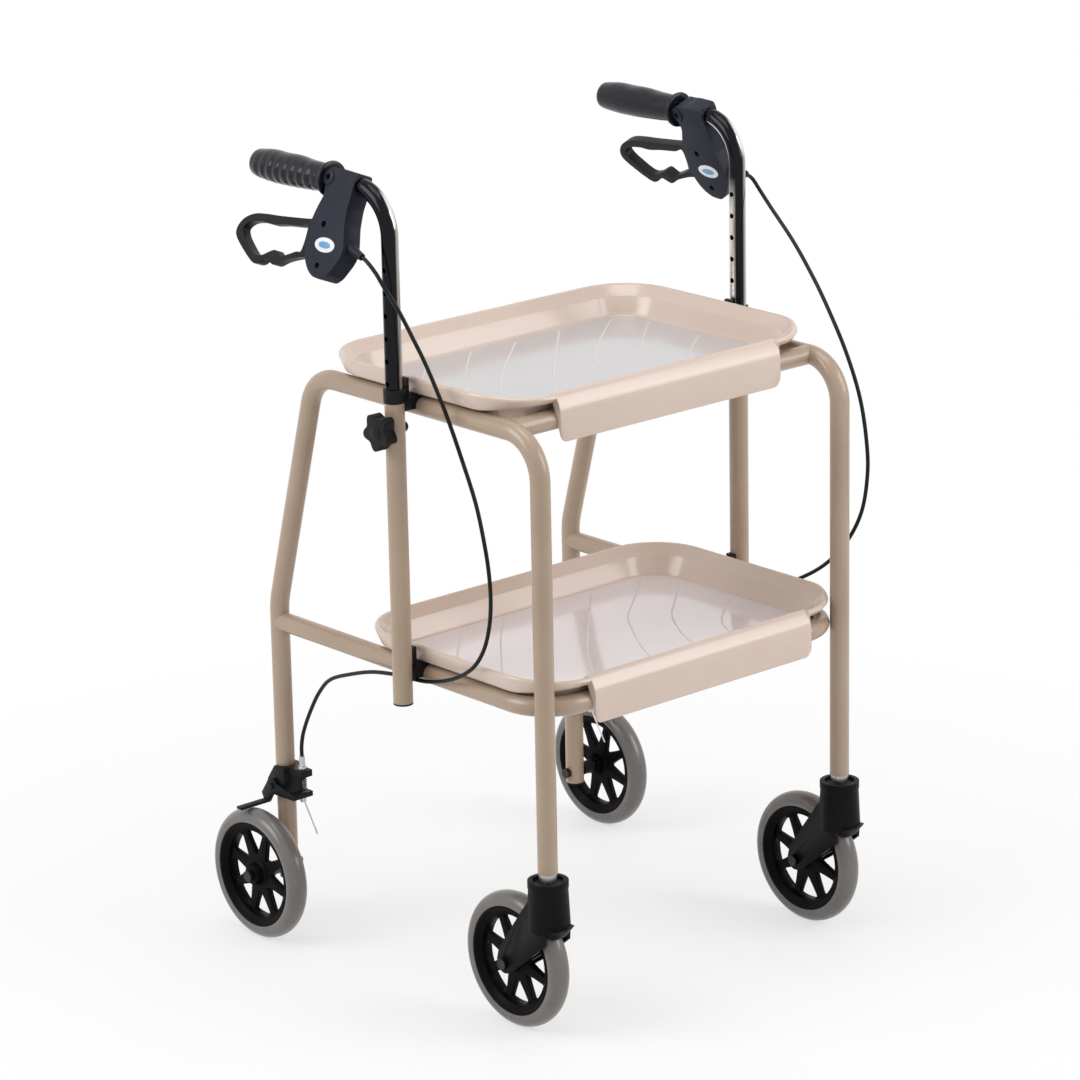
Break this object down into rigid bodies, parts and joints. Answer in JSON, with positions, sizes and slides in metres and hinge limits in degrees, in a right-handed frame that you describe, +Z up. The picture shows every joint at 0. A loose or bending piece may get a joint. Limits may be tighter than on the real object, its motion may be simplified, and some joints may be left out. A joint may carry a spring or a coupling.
{
  "type": "trolley walker with trays",
  "caption": "Indoor trolley walker: bent-tube frame with lift-out trays, height-adjustable grips with cable brake levers, swivel castors in front and braked wheels behind.",
  "frame": {"origin": "on the floor, under the middle of the walker's bounding box", "axes": "+Z up, front of the walker towards -Y, the user stands at +Y, the user's right hand at -X"},
  "size_m": [0.6128, 0.559, 0.933],
  "materials": {
    "frame_paint": "satin powder coat, warm beige",
    "chrome_tube": "polished",
    "tray_plastic": "glossy moulded beige",
    "black_plastic": "moulded black, slight sheen",
    "housing_plastic": "moulded dark grey, fine grain",
    "grip_rubber": "soft black",
    "wheel_plastic": "moulded black",
    "grey_tyre": "soft grey",
    "black_steel": "black coat",
    "zinc_steel": "bright zinc",
    "cable_sheath": "black sheath"
  },
  "bodies": {
    "frame": {"side_frame_right": "frame_paint", "side_frame_left": "frame_paint", "top_crossbar": "frame_paint", "lower_tray_frame": "frame_paint", "handle_receiver_right": "frame_paint", "handle_receiver_left": "frame_paint", "receiver_saddles": "black_plastic", "saddle_rivets": "zinc_steel", "receiver_collars": "black_plastic", "tube_end_plugs": "black_plastic", "knob_end_caps": "black_plastic", "rear_axles": "zinc_steel", "castor_stems": "zinc_steel", "brake_bracket_right": "black_steel", "brake_bracket_left": "black_steel", "bracket_screws": "zinc_steel", "cable_adjusters": "zinc_steel", "brake_cable_right": "cable_sheath", "brake_cable_left": "cable_sheath", "brake_spring_right": "black_steel", "brake_spring_left": "black_steel"},
    "handle_right": {"handle_post_right": "chrome_tube", "post_bush_right": "black_plastic", "hand_grip_right": "grip_rubber", "brake_housing_right": "housing_plastic", "housing_cover_right": "housing_plastic", "housing_screws_right": "zinc_steel", "lever_pin_right": "zinc_steel"},
    "lever_right": {"brake_lever_right": "housing_plastic"},
    "knob_right": {"height_knob_right": "black_plastic", "knob_screw_right": "zinc_steel"},
    "castor_right": {"castor_fork_right": "black_plastic", "castor_axle_right": "zinc_steel"},
    "front_wheel_right": {"castor_hub_right": "wheel_plastic", "castor_tyre_right": "grey_tyre"},
    "rear_wheel_right": {"rear_hub_right": "wheel_plastic", "rear_tyre_right": "grey_tyre"},
    "arm_right": {"brake_arm_right": "black_steel", "brake_wire_right": "zinc_steel"},
    "handle_left": {"handle_post_left": "chrome_tube", "post_bush_left": "black_plastic", "hand_grip_left": "grip_rubber", "brake_housing_left": "housing_plastic", "housing_cover_left": "housing_plastic", "housing_screws_left": "zinc_steel", "lever_pin_left": "zinc_steel"},
    "lever_left": {"brake_lever_left": "housing_plastic"},
    "knob_left": {"height_knob_left": "black_plastic", "knob_screw_left": "zinc_steel"},
    "castor_left": {"castor_fork_left": "black_plastic", "castor_axle_left": "zinc_steel"},
    "front_wheel_left": {"castor_hub_left": "wheel_plastic", "castor_tyre_left": "grey_tyre"},
    "rear_wheel_left": {"rear_hub_left": "wheel_plastic", "rear_tyre_left": "grey_tyre"},
    "arm_left": {"brake_arm_left": "black_steel", "brake_wire_left": "zinc_steel"},
    "upper_tray_body": {"upper_tray": "tray_plastic"},
    "lower_tray_body": {"lower_tray": "tray_plastic"}
  },
  "joints": [
    {"name": "handle_height_right", "type": "slide", "parent": "frame", "child": "handle_right", "axis": [0, 0, 1], "range_m": [-0.1, 0.05], "deforming": ["brake_cable_right"]},
    {"name": "lever_squeeze_right", "type": "hinge", "parent": "handle_right", "child": "lever_right", "pos_m": [-0.27336, 0.0195, 0.86757], "axis": [0.9272, 0, -0.3746], "range_deg": [0, 14], "stiffness_Nm_per_rad": 4, "springref_deg": -5.73},
    {"name": "knob_turn_right", "type": "hinge", "parent": "frame", "child": "knob_right", "pos_m": [-0.2765, -0.0545, 0.655], "axis": [-1, 0, 0], "range_deg": [0, 720]},
    {"name": "castor_swivel_right", "type": "hinge", "parent": "frame", "child": "castor_right", "pos_m": [-0.222, -0.2505, 0.165], "axis": [0, 0, 1], "continuous": true},
    {"name": "front_wheel_spin_right", "type": "hinge", "parent": "castor_right", "child": "front_wheel_right", "pos_m": [-0.222, -0.1985, 0.077], "axis": [1, 0, 0], "continuous": true},
    {"name": "rear_wheel_spin_right", "type": "hinge", "parent": "frame", "child": "rear_wheel_right", "pos_m": [-0.264, 0.2025, 0.077], "axis": [1, 0, 0], "continuous": true},
    {"name": "brake_arm_turn_right", "type": "hinge", "parent": "frame", "child": "arm_right", "pos_m": [-0.2405, 0.2045, 0.176], "axis": [1, 0, 0], "range_deg": [-5, 0], "deforming": ["brake_spring_right"]},
    {"name": "handle_height_left", "type": "slide", "parent": "frame", "child": "handle_left", "axis": [0, 0, 1], "range_m": [-0.1, 0.05], "deforming": ["brake_cable_left"]},
    {"name": "lever_squeeze_left", "type": "hinge", "parent": "handle_left", "child": "lever_left", "pos_m": [0.27336, 0.0195, 0.86757], "axis": [0.9272, 0, 0.3746], "range_deg": [0, 14], "stiffness_Nm_per_rad": 4, "springref_deg": -5.73},
    {"name": "knob_turn_left", "type": "hinge", "parent": "frame", "child": "knob_left", "pos_m": [0.2765, -0.0545, 0.655], "axis": [1, 0, 0], "range_deg": [0, 720]},
    {"name": "castor_swivel_left", "type": "hinge", "parent": "frame", "child": "castor_left", "pos_m": [0.222, -0.2505, 0.165], "axis": [0, 0, 1], "continuous": true},
    {"name": "front_wheel_spin_left", "type": "hinge", "parent": "castor_left", "child": "front_wheel_left", "pos_m": [0.222, -0.1985, 0.077], "axis": [1, 0, 0], "continuous": true},
    {"name": "rear_wheel_spin_left", "type": "hinge", "parent": "frame", "child": "rear_wheel_left", "pos_m": [0.264, 0.2025, 0.077], "axis": [1, 0, 0], "continuous": true},
    {"name": "brake_arm_turn_left", "type": "hinge", "parent": "frame", "child": "arm_left", "pos_m": [0.2405, 0.2045, 0.176], "axis": [1, 0, 0], "range_deg": [-5, 0], "deforming": ["brake_spring_left"]},
    {"name": "upper_tray_lift", "type": "slide", "parent": "frame", "child": "upper_tray_body", "axis": [0, 0, 1], "range_m": [0, 0.2]},
    {"name": "lower_tray_lift", "type": "slide", "parent": "frame", "child": "lower_tray_body", "axis": [0, 0, 1], "range_m": [0, 0.2]}
  ],
  "couplings": [
    {"joint": "brake_arm_turn_right", "follows": "lever_squeeze_right", "ratio": -0.35},
    {"joint": "brake_arm_turn_left", "follows": "lever_squeeze_left", "ratio": -0.35}
  ]
}
